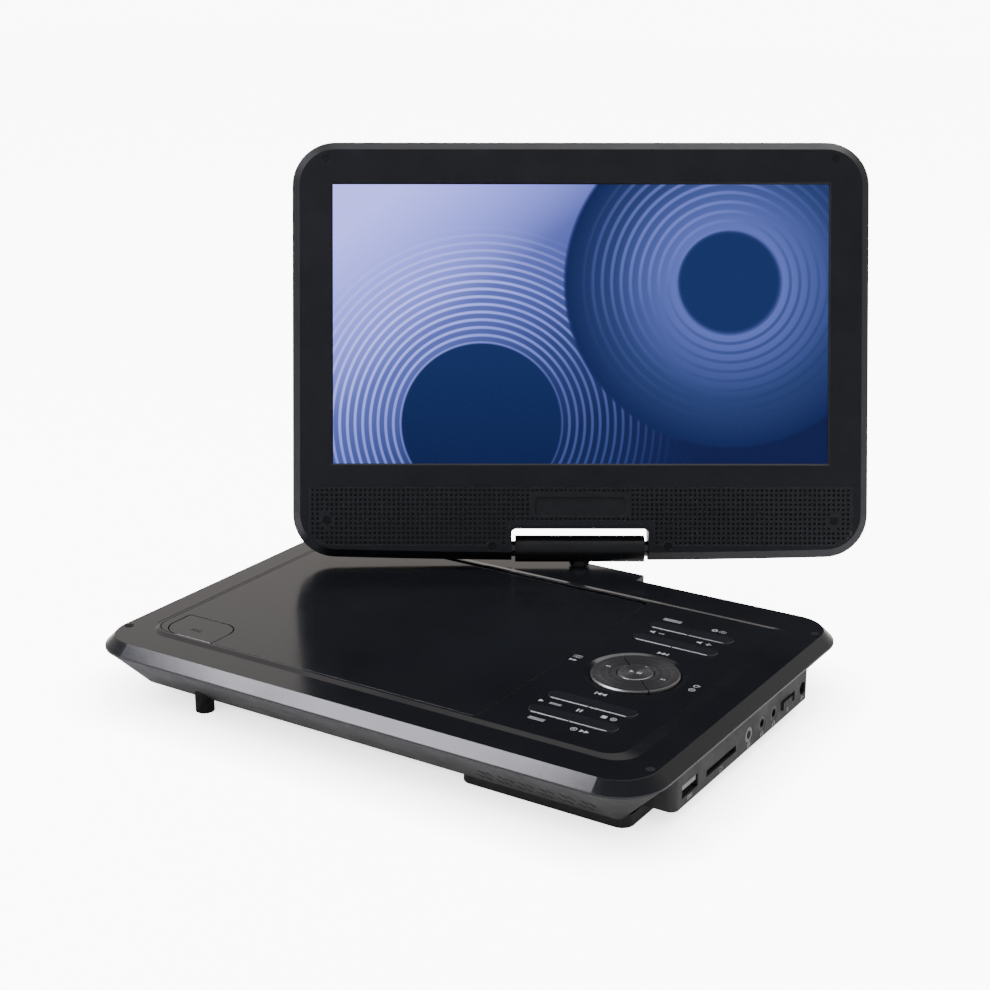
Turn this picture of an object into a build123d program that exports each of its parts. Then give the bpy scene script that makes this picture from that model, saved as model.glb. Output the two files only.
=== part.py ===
from build123d import *
import os
from math import atan2, cos, radians, sin

os.makedirs("parts", exist_ok=True)

# Portable DVD player: a flat base with a top-loading disc drive, and a screen that stands on a
# two-axis hinge, turned and leaned back the way it is used. Millimetres. The base stands on Z = 0
# with its front towards -Y; the whole is shifted at the end so that the origin lies in the middle
# of its own footprint.

# ---------------------------------------------------------------- driving dimensions
BASE_W, BASE_D, BASE_R = 260.0, 184.0, 20.0   # widest outline of the base and its corners
TOP_Z = 27.0                                  # top of the base above the table
BEVEL = 4.3                                   # 45 degree bevel round the top
LIP = 0.8                                     # upright lip below the bevel
SEAM = 0.4                                    # gap between the two shells
FLOOR_Z = 5.0                                 # flat underside of the lower shell
WALL = 2.0
RAISE = 0.6                                   # height of the raised panel on the top
# left, right, front and rear limits of the raised panel: at its top, and at the foot of its slope
PANEL_TOP = (-112.7, 110.0, -71.4, 66.8)
PANEL_FOOT = (-113.4, 114.9, -74.2, 69.9)
RUN = 0.05                                    # radial clearance of a shaft that turns or slides

HUB_X, HUB_Y = -33.5, 0.0                     # disc centre
DISC_WELL_R = 61.5                            # well for a 120 mm disc
DISC_Z = 20.2                                 # plane on which the disc rests

SWIVEL_Y = 90.6                               # upright hinge axis, on the base's centre line
TILT_Z = 35.1                                 # level hinge axis
SWIVEL = 32.3                                 # how far the screen is turned, degrees
LEAN = 16.9                                   # how far it leans back, degrees

SCREEN_W, SCREEN_R = 259.5, 19.5
SCREEN_TOP, SCREEN_LOW = 183.0, -3.6          # edges above and below the tilt axis
BOW = 1.5                                     # how far the lower edge bows down in the middle
FACE, BACK = 7.3, 7.6                         # from the tilt axis to the screen's two faces
SPLIT = 0.6                                   # plane between bezel and back, behind the axis
LCD_W, LCD_H, LCD_V = 222.7, 125.3, 101.25    # picture area (10.1 inch, 1024 x 600), its height

KEY_ROWS = (-48.6, -33.9, 33.9, 48.6)         # key rows, from the middle of the ring of keys
PAD_X, PAD_Y = 79.9, -3.9                     # middle of the ring of keys
PAD_R, CENTRE_R = 17.8, 7.2
KEY_L, KEY_H = 38.0, 6.6                      # a row of two keys
TRAVEL = 0.5                                  # key travel

# ---------------------------------------------------------------- worked out from them
PANEL_Z = TOP_Z + RAISE                       # top of the raised panel
LIP_Z = TOP_Z - BEVEL
UPPER_Z = LIP_Z - LIP                         # lower edge of the upper shell
LOWER_Z = UPPER_Z - SEAM                      # upper edge of the lower shell
PLATE_Z = TOP_Z - 2.6                         # underside of the top plate
LOWER_W, LOWER_D, LOWER_R = BASE_W - 1.5, BASE_D - 1.5, BASE_R - 0.75
SLOPE = LOWER_Z - FLOOR_Z                     # the lower sides slope in at 45 degrees
INSIDE_Z = FLOOR_Z + WALL                     # top of the lower shell's floor
SIDE_WALL = 2.6                               # level thickness of the sloping sides
HINGE_HALF, HINGE_Y = 31.0, 95.0              # platform that carries the hinge
BOARD_Z = 9.0                                 # top of the main board
PACK_X, PACK_Y = 77.85, -22.0                 # middle of the battery, under the front right
PORT_Z = 12.0                                 # height of the socket row
PORT_X = 127.5                                # outside of the socket wall
USB_Y, CARD_Y, AV_Y, DC_Y = -50.0, -24.0, 0.0, 51.0
PHONE_Y = (12.0, 23.0)
PLUG_BORE = 1.775                             # bore of a 3.5 mm socket
KEYBOARD_Z = 21.2
DOME_H = 0.8                                  # snap domes under the keys
BOARD_POSTS_X, BOARD_POSTS_Y = (57.5, 102.5), (-60.5, 53.0)

DOOR_X0, DOOR_X1 = -112.2, 48.5
DOOR_Y0, DOOR_Y1 = -70.1, 62.9
DOOR_Z = 24.6                                 # underside of the disc door
DOOR_PIN_Y, DOOR_PIN_Z = 66.9, 21.5
DOOR_LUGS = (-95.0, 28.0)
DOOR_GAP = 0.4
BUTTON_X0, BUTTON_X1 = -108.2, -80.4
BUTTON_Y0, BUTTON_Y1 = DOOR_Y0, -51.0

PLUG_R = 1.8
SCREW_R = 1.2
TOP_PLUGS = [(sx * 122.9, sy * 72.7) for sx in (-1, 1) for sy in (-1, 1)]
FACE_PLUGS = [(sx * x, v) for sx in (-1, 1) for x, v in ((114.3, 175.0), (114.0, 12.8), (39.5, 1.2))]


def block(x0, x1, y0, y1, z0, z1):
    """A box between its limits."""
    return Pos((x0 + x1) / 2, (y0 + y1) / 2, (z0 + z1) / 2) * Box(x1 - x0, y1 - y0, z1 - z0)


def post(x, y, z0, z1, r):
    """An upright round bar."""
    return Pos(x, y, (z0 + z1) / 2) * Cylinder(r, z1 - z0)


def bar_x(x0, x1, y, z, r):
    """A round bar along X."""
    return Pos((x0 + x1) / 2, y, z) * Rot(0, 90, 0) * Cylinder(r, x1 - x0)


def bar_y(x, y0, y1, z, r):
    """A round bar along Y."""
    return Pos(x, (y0 + y1) / 2, z) * Rot(90, 0, 0) * Cylinder(r, y1 - y0)


def slab(w, d, r, z0, z1, x=0.0, y=0.0):
    """A plate with rounded corners."""
    return extrude(Pos(x, y, z0) * RectangleRounded(w, d, r), z1 - z0)


def taper(w, d, r, inset0, z0, inset1, z1):
    """A rounded outline, inset by one amount at z0 and by another at z1, with straight sides."""
    ends = [
        Pos(0, 0, z) * RectangleRounded(w - 2 * i, d - 2 * i, r - i)
        for i, z in ((inset0, z0), (inset1, z1))
    ]
    return loft(ends, ruled=True)


def cornered(x0, x1, y0, y1, radii, grow=0.0):
    """A rectangle whose four corners have their own radii: front left, front right, rear
    right, rear left. It can be grown all round."""
    x0, x1, y0, y1 = x0 - grow, x1 + grow, y0 - grow, y1 + grow
    fl, fr, rr, rl = (r + grow for r in radii)
    return make_face([
        Line((x0 + fl, y0), (x1 - fr, y0)),
        CenterArc((x1 - fr, y0 + fr), fr, 270, 90),
        Line((x1, y0 + fr), (x1, y1 - rr)),
        CenterArc((x1 - rr, y1 - rr), rr, 0, 90),
        Line((x1 - rr, y1), (x0 + rl, y1)),
        CenterArc((x0 + rl, y1 - rl), rl, 90, 90),
        Line((x0, y1 - rl), (x0, y0 + fl)),
        CenterArc((x0 + fl, y0 + fl), fl, 180, 90),
    ])


def joined(pieces):
    """Several solids as one node."""
    return Compound([solid for piece in pieces for solid in piece.solids()])


# ---------------------------------------------------------------- outer bodies of the two shells
def lower_outer():
    """The lower shell's outside, with the hinge housing and the upright socket wall."""
    body = taper(LOWER_W, LOWER_D, LOWER_R, 0, LOWER_Z, SLOPE, FLOOR_Z)
    body += block(-HINGE_HALF, HINGE_HALF, 60, HINGE_Y + 3.5, 9.0, LOWER_Z)
    wall = slab(20, 119, 3, 6.0, LOWER_Z - 1.75, PORT_X - 10, -2.5)
    return body + wall


def button_outline(grow):
    """The door button's leaf shape: round at the front left and the rear right."""
    return cornered(BUTTON_X0, BUTTON_X1, BUTTON_Y0, BUTTON_Y1, (9.0, 1.0, 8.0, 1.0), grow)


def door_outline(grow):
    return cornered(DOOR_X0, DOOR_X1, DOOR_Y0, DOOR_Y1, (8.6, 1.0, 2.0, 4.0), grow)


def row_outline(grow):
    """The long rounded outline that two keys share."""
    return RectangleRounded(KEY_L + 2 * grow, KEY_H + 2 * grow, KEY_H / 2 + grow - 0.05)


# ---------------------------------------------------------------- base shells
def upper_case():
    shell = slab(BASE_W, BASE_D, BASE_R, UPPER_Z, LIP_Z)
    shell += taper(BASE_W, BASE_D, BASE_R, 0, LIP_Z, BEVEL, TOP_Z)
    shell += block(-HINGE_HALF, HINGE_HALF, 70, HINGE_Y, UPPER_Z, TOP_Z)
    shell -= taper(BASE_W, BASE_D, BASE_R, WALL, UPPER_Z, 4.5, PLATE_Z)
    shell -= block(-HINGE_HALF + WALL, HINGE_HALF - WALL, 60, HINGE_Y - 1.2, UPPER_Z, PLATE_Z)
    # the raised panel, with its sloping border
    foot = Pos(0, 0, TOP_Z) * cornered(*PANEL_FOOT, (11, 11, 7, 7))
    top = Pos(0, 0, PANEL_Z) * cornered(*PANEL_TOP, (9, 9, 5, 5))
    shell += loft([foot, top], ruled=True)
    # fine line in the top beside the panel's left edge
    shell -= block(-115.1, -114.7, -64, 62, TOP_Z - 0.3, TOP_Z + 1)
    # ledge that the disc door lies on, the disc well below it and the well of the door button
    shell += block(DOOR_X0 - 2, DOOR_X1 + 2, DOOR_Y0 - 2.5, DOOR_Y1 + 4.5, PLATE_Z - 2.0, PLATE_Z)
    shell += post(HUB_X, HUB_Y, 17.0, PLATE_Z, DISC_WELL_R + 1.5)
    shell += block(BUTTON_X0 - 2, BUTTON_X1 + 1.5, BUTTON_Y0 - 2, BUTTON_Y1 + 1.5, 17.6, PLATE_Z)
    shell -= extrude(Pos(0, 0, PLATE_Z) * door_outline(DOOR_GAP), 5)
    # groove behind the door, into which its rear edge turns
    shell -= block(DOOR_X0 + 1, DOOR_X1 + DOOR_GAP, 50, DOOR_Y1 + 2.8, PLATE_Z, PANEL_Z + 1)
    shell -= post(HUB_X, HUB_Y, 18.4, TOP_Z, DISC_WELL_R)
    shell -= extrude(Pos(0, 0, 18.8) * button_outline(0.3), 10)
    # window in the well's floor for the turntable and the pickup
    shell -= block(HUB_X - 19, HUB_X + 19, HUB_Y - 60.5, HUB_Y + 20, 16, 19)
    # ears for the door's hinge pin, on both sides of each lug
    for x in DOOR_LUGS:
        y0, y1 = DOOR_PIN_Y - 12.0, DOOR_PIN_Y + 2.6
        shell -= block(x - 3.6, x + 3.6, y0, y1, PLATE_Z - 3, PLATE_Z + 0.1)
        for side in (-6.2, 6.2):
            shell += block(x + side - 2, x + side + 2, y1 - 5.3, y1 + 0.4, 19.0, PLATE_Z)
    shell -= bar_x(-103.5, 36.5, DOOR_PIN_Y, DOOR_PIN_Z, 1.5)
    # openings for the keys, and the dish round the ring of keys
    for row in KEY_ROWS:
        shell -= extrude(Pos(PAD_X, PAD_Y + row, PLATE_Z - 1) * row_outline(0.3), 6)
    dish = Pos(PAD_X, PAD_Y, PANEL_Z - 0.4) * Cone(PAD_R + 0.5, PAD_R + 3.3, 1.4)
    shell -= dish
    shell -= post(PAD_X, PAD_Y, PLATE_Z - 1, PANEL_Z + 1, PAD_R + 0.3)
    # posts that carry the key board
    for x in BOARD_POSTS_X:
        for y in BOARD_POSTS_Y:
            shell += post(x, y, KEYBOARD_Z, PLATE_Z, 2.2)
    # screw bosses under the plugs in the corners
    for x, y in TOP_PLUGS:
        shell += post(x, y, LOWER_Z, PLATE_Z, 2.2)
        shell -= post(x, y, TOP_Z - 2.1, TOP_Z, PLUG_R)
        shell -= post(x, y, LOWER_Z - 1, TOP_Z, SCREW_R)
    # hole for the swivel post
    shell -= post(0, SWIVEL_Y, 20, TOP_Z + 1, 3.3)
    return shell


def lower_case():
    shell = lower_outer()
    shell -= taper(LOWER_W, LOWER_D, LOWER_R, SIDE_WALL, LOWER_Z, SIDE_WALL + SLOPE - WALL, INSIDE_Z)
    shell -= block(-HINGE_HALF + WALL, HINGE_HALF - WALL, 60, HINGE_Y, 11.0, LOWER_Z)
    shell -= block(-HINGE_HALF + WALL, HINGE_HALF - WALL, 60, HINGE_Y + 2.3, 11.0, LOWER_Z - 1.2)
    shell -= block(100, PORT_X - 1.8, -60.2, 55.2, 7.8, LOWER_Z - 3.5)
    # tongue that closes the seam between the shells
    tongue = taper(BASE_W, BASE_D, BASE_R, 3.6, 19.5, 3.6, UPPER_Z + 1.0)
    tongue -= taper(BASE_W, BASE_D, BASE_R, 4.8, 19.5, 4.8, UPPER_Z + 1.0)
    tongue -= block(-HINGE_HALF, HINGE_HALF, 60, 100, 19, 24)
    shell += tongue
    # battery bay
    shell -= block(44, 112, -70, 26, FLOOR_Z - 1, INSIDE_Z + 1)
    # slanted cooling slots in the front slope
    for row, z in enumerate((8.6, 12.4)):
        for i in range(6):
            x = 56 + 8.6 * i + 3.0 * row
            face = Plane(
                origin=(x, -LOWER_D / 2 + LOWER_Z - z, z), x_dir=(1, 0, 0), z_dir=(0, -1, -1)
            )
            for k in (0, 3.2):
                shell -= face * Pos(k, 0, 0) * Rot(0, 0, 32) * Box(1.1, 3.8, 9)
    # openings in the socket wall
    shell -= block(120, 130, USB_Y - 6.3, USB_Y + 6.3, PORT_Z - 2.55, PORT_Z + 2.55)
    shell -= block(120, 130, CARD_Y - 12.6, CARD_Y + 12.6, 9.7, 12.4)
    for y in (AV_Y, *PHONE_Y, DC_Y):
        shell -= bar_x(120, 130, y, PORT_Z, 3.2)
    shell -= block(120, 130, 30, 43, PORT_Z - 2.0, PORT_Z + 2.0)
    # posts for the disc drive, with a pin for each rubber mount, and for the main board
    for dx, y in DAMPERS:
        shell += post(HUB_X + dx, y, INSIDE_Z - 1, 9.4, 4.0)
        shell += post(HUB_X + dx, y, 9.0, 12.9, 1.2)
    for x, y in ((55, 52), (100, 52), (55, 33)):
        shell += post(x, y, INSIDE_Z - 1, BOARD_Z - 1.4, 2.5)
    # screw bosses in the corners
    for x, y in TOP_PLUGS:
        shell += post(x, y, 12, LOWER_Z, 2.8) & taper(
            LOWER_W, LOWER_D, LOWER_R, 0.5, LOWER_Z, SLOPE + 0.5, FLOOR_Z
        )
        shell -= post(x, y, 18.5, LOWER_Z + 2, SCREW_R)
    return shell


def base_plugs():
    return joined([post(x, y, TOP_Z - 0.9, TOP_Z + 0.15, PLUG_R) for x, y in TOP_PLUGS])


def case_screws():
    def screw(x, y):
        head = post(x, y, TOP_Z - 2.1, TOP_Z - 1.0, PLUG_R - 0.1)
        head -= post(x, y, TOP_Z - 1.5, TOP_Z, 0.7)
        return head + post(x, y, 18.6, TOP_Z - 2.1, SCREW_R)

    return joined([screw(x, y) for x, y in TOP_PLUGS])


def rubber_feet():
    outside = lower_outer()
    feet = []
    for x, y in ((-80.6, -75.4), (-80.6, 75.4), (80.6, 75.4)):
        feet.append(post(x, y, 0, 9.5, 3.9) - outside)
    return joined(feet)


def battery_cover():
    cover = slab(72.3, 100, 5, 0, FLOOR_Z, PACK_X, PACK_Y)
    return cover - slab(69, 96.6, 4, 1.6, FLOOR_Z + 1, PACK_X, PACK_Y)


def battery_pack():
    cells = slab(64, 44.5, 2, 1.8, 7.1, 78, -45.5)
    cells += slab(64, 44.5, 2, 1.8, 7.1, 78, 0.8)
    return cells + block(48, 108, -26, -19, 1.8, 6.4)


# ---------------------------------------------------------------- electronics in the base
def main_board():
    board = block(52, 112.5, -60, 60, BOARD_Z - 1.4, BOARD_Z)
    board += block(112, 124, -58, 54.5, BOARD_Z - 1.4 + 0.3, BOARD_Z)
    for x, y, w, d, h in ((70, 10, 16, 16, 1.2), (88, -20, 10, 8, 1.0), (66, -30, 8, 12, 1.4)):
        board += block(x - w / 2, x + w / 2, y - d / 2, y + d / 2, BOARD_Z, BOARD_Z + h)
    return board


def usb_socket():
    shell = block(113, PORT_X - 1.9, USB_Y - 6.6, USB_Y + 6.6, PORT_Z - 2.85, PORT_Z + 2.85)
    shell -= block(114, PORT_X, USB_Y - 6.25, USB_Y + 6.25, PORT_Z - 2.5, PORT_Z + 2.5)
    tongue = block(113.5, PORT_X - 0.5, USB_Y - 5.5, USB_Y + 5.5, PORT_Z + 0.2, PORT_Z + 2.1)
    return shell + tongue


def card_slot():
    shell = block(100, PORT_X - 1.9, CARD_Y - 13.5, CARD_Y + 13.5, BOARD_Z + 0.1, 12.6)
    return shell - block(102, PORT_X, CARD_Y - 12.1, CARD_Y + 12.1, 9.9, 12.2)


def jack(y, bore):
    """A round socket: a square body behind a short nose that shows in the wall."""
    body = block(112, PORT_X - 1.9, y - 3.2, y + 3.2, BOARD_Z + 0.05, 15.2)
    body += bar_x(PORT_X - 2, PORT_X - 0.1, y, PORT_Z, 3.1)
    return body - bar_x(113.5, PORT_X, y, PORT_Z, bore)


def dc_jack():
    return jack(DC_Y, 2.75) + bar_x(113, PORT_X - 2.2, DC_Y, PORT_Z, 0.65)


def power_switch_body():
    body = block(114, 124.6, 29, 44, BOARD_Z + 0.05, 14.6)
    return body - block(123.6, 125, 31, 42, PORT_Z - 1.2, PORT_Z + 1.2)


def power_switch_knob():
    knob = block(124.9, PORT_X + 1.0, 30.4, 38.4, PORT_Z - 1.8, PORT_Z + 1.8)
    for k in range(5):
        knob -= block(PORT_X + 0.5, PORT_X + 2, 31.3 + 1.5 * k, 31.9 + 1.5 * k, 8, 16)
    knob += block(124.9, 125.5, 27.5, 41.3, PORT_Z - 2.9, PORT_Z + 2.9)
    return knob + block(123.9, 125, 33.4, 35.4, PORT_Z - 1.0, PORT_Z + 1.0)


def key_board():
    x0, x1 = BOARD_POSTS_X[0] - 2.5, BOARD_POSTS_X[1] + 3.0
    y0, y1 = BOARD_POSTS_Y[0] - 3.0, BOARD_POSTS_Y[1] + 3.0
    return block(x0, x1, y0, y1, KEYBOARD_Z - 1.2, KEYBOARD_Z)


def dome_switches():
    spots = [(PAD_X + sx * 9.5, PAD_Y + row) for row in KEY_ROWS for sx in (-1, 1)]
    spots += [(PAD_X + 12.5 * sx, PAD_Y) for sx in (-1, 1)]
    spots += [(PAD_X, PAD_Y + 12.5 * sy) for sy in (-1, 1)]
    spots.append((PAD_X, PAD_Y))
    domes = []
    for x, y in spots:
        domes.append(Pos(x, y, KEYBOARD_Z + DOME_H / 2) * Cone(2.4, 1.4, DOME_H))
    return joined(domes)


# ---------------------------------------------------------------- keys
KEY_TOP = PANEL_Z + 0.4
FLANGE_Z0, FLANGE_Z1 = KEYBOARD_Z + DOME_H + TRAVEL + 0.1, PLATE_Z - 0.3


def long_key(row, side):
    """One key of a row: a half of the long outline, with a flange below the plate."""
    y = PAD_Y + KEY_ROWS[row]
    body = extrude(Pos(PAD_X, y, FLANGE_Z0) * row_outline(0), KEY_TOP - FLANGE_Z0)
    flange = extrude(Pos(PAD_X, y, FLANGE_Z0) * row_outline(1.0), FLANGE_Z1 - FLANGE_Z0)
    key = body + flange
    rim = key.faces().sort_by(Axis.Z)[-1].edges()
    key = chamfer(rim, 0.3)
    half = block(0.2, 40, -10, 10, -5, 5)
    if side < 0:
        half = block(-40, -0.2, -10, 10, -5, 5)
    return key & (Pos(PAD_X, y, (FLANGE_Z0 + KEY_TOP) / 2) * half)


def ring_key(turn):
    """A quarter of the ring of keys, between slits on the diagonals."""
    ring = post(0, 0, FLANGE_Z0, PANEL_Z + 0.35, PAD_R)
    ring = chamfer(ring.faces().sort_by(Axis.Z)[-1].edges(), 0.5)
    ring += post(0, 0, FLANGE_Z0, FLANGE_Z1, PAD_R + 1.4)
    ring -= post(0, 0, 20, 30, CENTRE_R + 0.4)
    reach = 40
    wedge = extrude(Pos(0, 0, 20) * make_face(Polyline((0.36, 0), (reach, -reach + 0.36),
                                                       (reach, reach - 0.36), (0.36, 0))), 10)
    return Pos(PAD_X, PAD_Y, 0) * Rot(0, 0, turn) * (ring & wedge)


def pad_centre():
    key = post(PAD_X, PAD_Y, FLANGE_Z0, PANEL_Z + 0.6, CENTRE_R)
    return fillet(key.faces().sort_by(Axis.Z)[-1].edges(), 0.5)


# ---------------------------------------------------------------- disc door
def disc_door():
    plate = extrude(Pos(0, 0, DOOR_Z) * door_outline(0), PANEL_Z - DOOR_Z)
    plate -= extrude(Pos(0, 0, DOOR_Z - 1) * button_outline(DOOR_GAP), 6)
    # round hollow over the disc
    plate -= post(HUB_X, HUB_Y, DOOR_Z - 1, DOOR_Z + 1.4, 60)
    for x in DOOR_LUGS:
        plate += block(x - 3, x + 3, DOOR_PIN_Y - 10.5, DOOR_Y1, 19.4, PANEL_Z - 0.5)
        plate += block(x - 3, x + 3, DOOR_PIN_Y - 10.5, DOOR_PIN_Y + 2.0, 19.4, 23.8)
        plate -= bar_x(x - 4, x + 4, DOOR_PIN_Y, DOOR_PIN_Z, 1.5 + RUN)
    return plate


def door_hinge_pin():
    return bar_x(-103.4, 36.4, DOOR_PIN_Y, DOOR_PIN_Z, 1.5)


def door_button():
    cap = extrude(Pos(0, 0, 22.0) * button_outline(0), PANEL_Z - 22.0)
    cap = chamfer(cap.faces().sort_by(Axis.Z)[-1].edges(), 0.25)
    x, y = (BUTTON_X0 + BUTTON_X1) / 2, (BUTTON_Y0 + BUTTON_Y1) / 2
    return cap + post(x, y, 20.4, 22.1, 1.6)


def button_spring():
    """Coil spring under the door button."""
    x, y = (BUTTON_X0 + BUTTON_X1) / 2, (BUTTON_Y0 + BUTTON_Y1) / 2
    helix = Helix(pitch=0.8, height=2.4, radius=2.6)
    start = helix @ 0
    section = Plane(origin=start, z_dir=helix % 0) * Circle(0.22)
    coil = sweep(section, path=helix, is_frenet=True)
    return Pos(x, y, 19.2) * coil


# ---------------------------------------------------------------- disc drive
DAMPERS = [(dx, HUB_Y + dy) for dx in (-29, 29) for dy in (-72, 16)]
ROD_Z = 14.0
ROD_DX = 23.0
SCREW_DX = 29.5
LENS_Y = HUB_Y - 22.0


def loader_chassis():
    plate = slab(66, 96, 3, 10.6, 11.8, HUB_X, HUB_Y - 27)
    plate -= block(HUB_X - 17, HUB_X + 17, HUB_Y - 66, HUB_Y - 14, 10, 12)
    screw_x = HUB_X + SCREW_DX
    plate -= block(screw_x - 3.2, screw_x + 3.2, HUB_Y - 5, HUB_Y + 10.4, 10, 12)
    for dx, y in DAMPERS:
        plate -= post(HUB_X + dx, y, 10, 12.5, 2.6)
    for y in (HUB_Y - 66.8, HUB_Y - 8.0):
        plate += block(HUB_X - 26, HUB_X - 20, y - 1.3, y + 1.3, 11.5, 16.4)
        plate += block(HUB_X + 20, HUB_X + 32.5, y - 1.3, y + 1.3, 11.5, 16.4)
    for side in (-1, 1):
        plate -= bar_y(HUB_X + side * ROD_DX, HUB_Y - 70, HUB_Y - 6, ROD_Z, 1.5)
    return plate - bar_y(screw_x, HUB_Y - 70, HUB_Y - 6, ROD_Z, 1.5 + RUN)


def loader_dampers():
    mounts = []
    for dx, y in DAMPERS:
        x = HUB_X + dx
        mount = post(x, y, 9.4, 10.6, 4.0) + post(x, y, 10.6, 11.8, 2.55)
        mount += post(x, y, 11.8, 12.8, 3.2)
        mounts.append(mount - post(x, y, 9, 13.5, 1.25))
    return joined(mounts)


def spindle_motor():
    motor = post(HUB_X, HUB_Y, 11.8, 16.6, 10.6)
    motor += slab(26, 18, 3, 11.8, 12.6, HUB_X, HUB_Y + 6)
    return motor - post(HUB_X, HUB_Y, 11.9, 17, 1.0 + RUN)


def turntable():
    table = post(HUB_X, HUB_Y, DISC_Z - 1.6, DISC_Z, 14.5)
    table += Pos(HUB_X, HUB_Y, DISC_Z + 1.6) * Cone(7.45, 6.2, 1.2)
    table += post(HUB_X, HUB_Y, DISC_Z, DISC_Z + 1.0, 7.45)
    table += post(HUB_X, HUB_Y, 12.2, DISC_Z, 1.0)
    for k in range(3):
        a = radians(90 + 120 * k)
        ball = Sphere(0.9)
        table += Pos(HUB_X + 7.0 * cos(a), HUB_Y + 7.0 * sin(a), DISC_Z + 1.5) * ball
    return table


def guide_rods():
    y0, y1 = HUB_Y - 68, HUB_Y - 6.7
    return joined([bar_y(HUB_X + s * ROD_DX, y0, y1, ROD_Z, 1.5) for s in (-1, 1)])


def pickup_sled():
    sled = block(HUB_X - 26, HUB_X + 26, LENS_Y - 9, LENS_Y + 8, 12.2, 16.4)
    sled += block(HUB_X + 25, HUB_X + 32.5, LENS_Y - 3, LENS_Y + 3, 12.2, 15.9)
    for side in (-1, 1):
        sled -= bar_y(HUB_X + side * ROD_DX, LENS_Y - 18, LENS_Y + 17, ROD_Z, 1.5 + RUN)
    sled -= bar_y(HUB_X + SCREW_DX, LENS_Y - 18, LENS_Y + 17, ROD_Z, 1.5 + RUN)
    return sled - post(HUB_X, LENS_Y, 15.4, 17, 3.0)


def pickup_lens():
    lens = post(HUB_X, LENS_Y, 15.4, 17.2, 3.0)
    return lens + Pos(HUB_X, LENS_Y, 17.2) * (Sphere(2.0) & block(-3, 3, -3, 3, -0.1, 0.8))


def sled_motor():
    return bar_y(HUB_X + SCREW_DX, HUB_Y - 4.6, HUB_Y + 10.0, ROD_Z, 2.9)


def feed_screw():
    return bar_y(HUB_X + SCREW_DX, HUB_Y - 68, HUB_Y - 5.2, ROD_Z, 1.5)


# ---------------------------------------------------------------- hinge
def on_swivel(shape):
    """Places a shape, drawn round the tilt axis and facing -Y, at the hinge."""
    return Pos(0, SWIVEL_Y, TILT_Z) * Rot(0, 0, SWIVEL) * shape


def on_screen(shape):
    """Places a shape of the screen, drawn upright round the tilt axis."""
    return on_swivel(Rot(-LEAN, 0, 0) * shape)


BARREL_HALF, BARREL_R, SHAFT_R = 29.25, 6.0, 3.5


def swivel_bracket():
    plate = block(-24, 24, 77, 93.3, 22.0, PLATE_Z)
    plate -= post(0, SWIVEL_Y, 20, 26, 3.0 + RUN)
    for x in (-17, 17):
        plate -= post(x, 83, 20, 26, 1.3)
    return plate


def swivel_post():
    """Steel post: a shaft in the base, a polished neck and the flange under the barrel."""
    shaft = post(0, SWIVEL_Y, 13.5, 33.6, 3.0)
    shaft += post(0, SWIVEL_Y, TOP_Z + 0.15, 31.5, 3.7)
    return shaft + post(0, SWIVEL_Y, TOP_Z + 1.0, TOP_Z + 2.0, 4.6)


def swivel_nut():
    """Spring washers and a nut that give the swivel its friction."""
    nut = Pos(0, SWIVEL_Y, 15.4) * extrude(RegularPolygon(5.8, 6), 3.0)
    for k in range(3):
        nut += post(0, SWIVEL_Y, 18.4 + 0.5 * k, 18.85 + 0.5 * k, 5.0 + 0.5 * (k % 2))
    nut += post(0, SWIVEL_Y, 18.3, 21.8, 4.1)
    return nut - post(0, SWIVEL_Y, 14, 23, 3.0)


def barrel():
    """The barrel's cover round the bracket, with an end wall at each shaft."""
    tube = bar_x(-BARREL_HALF, BARREL_HALF, 0, 0, BARREL_R)
    tube -= bar_x(-BARREL_HALF + 1.2, BARREL_HALF - 1.2, 0, 0, 4.8)
    tube -= bar_x(-40, 40, 0, 0, SHAFT_R + RUN)
    return tube - post(0, 0, -8, 0, 3.7)


def barrel_half(front):
    """The barrel splits along a plane that leans 45 degrees."""
    cutter = Rot(45, 0, 0) * block(-40, 40, 0, 20, -20, 20)
    if front:
        return on_swivel(barrel() - cutter)
    return on_swivel(barrel() & cutter)


def hinge_bracket():
    core = bar_x(-27.8, 27.8, 0, 0, 4.8)
    for side in (-1, 1):
        core -= bar_x(*sorted((side * 21.5, side * 28.5)), 0, 0, SHAFT_R + RUN)
    core -= post(0, 0, -8, -3.6, 3.7)
    return on_swivel(core - post(0, 0, -8, 33.6 - TILT_Z, 3.0))


def tilt_shafts():
    arms = []
    for side in (-1, 1):
        arm = bar_x(22.0, 36.2, 0, 0, SHAFT_R)
        arm += block(33.6, 36.2, -2.4, 3.0, -2.4, 20)
        arm += block(33.6, 60.0, 2.6, 4.6, 8.5, 20)
        for x in (46, 55):
            arm -= bar_y(x, 0, 8, 14, 1.2)
        if side < 0:
            arm = mirror(arm, Plane.YZ)
        arms.append(arm)
    return on_screen(joined(arms))


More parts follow.
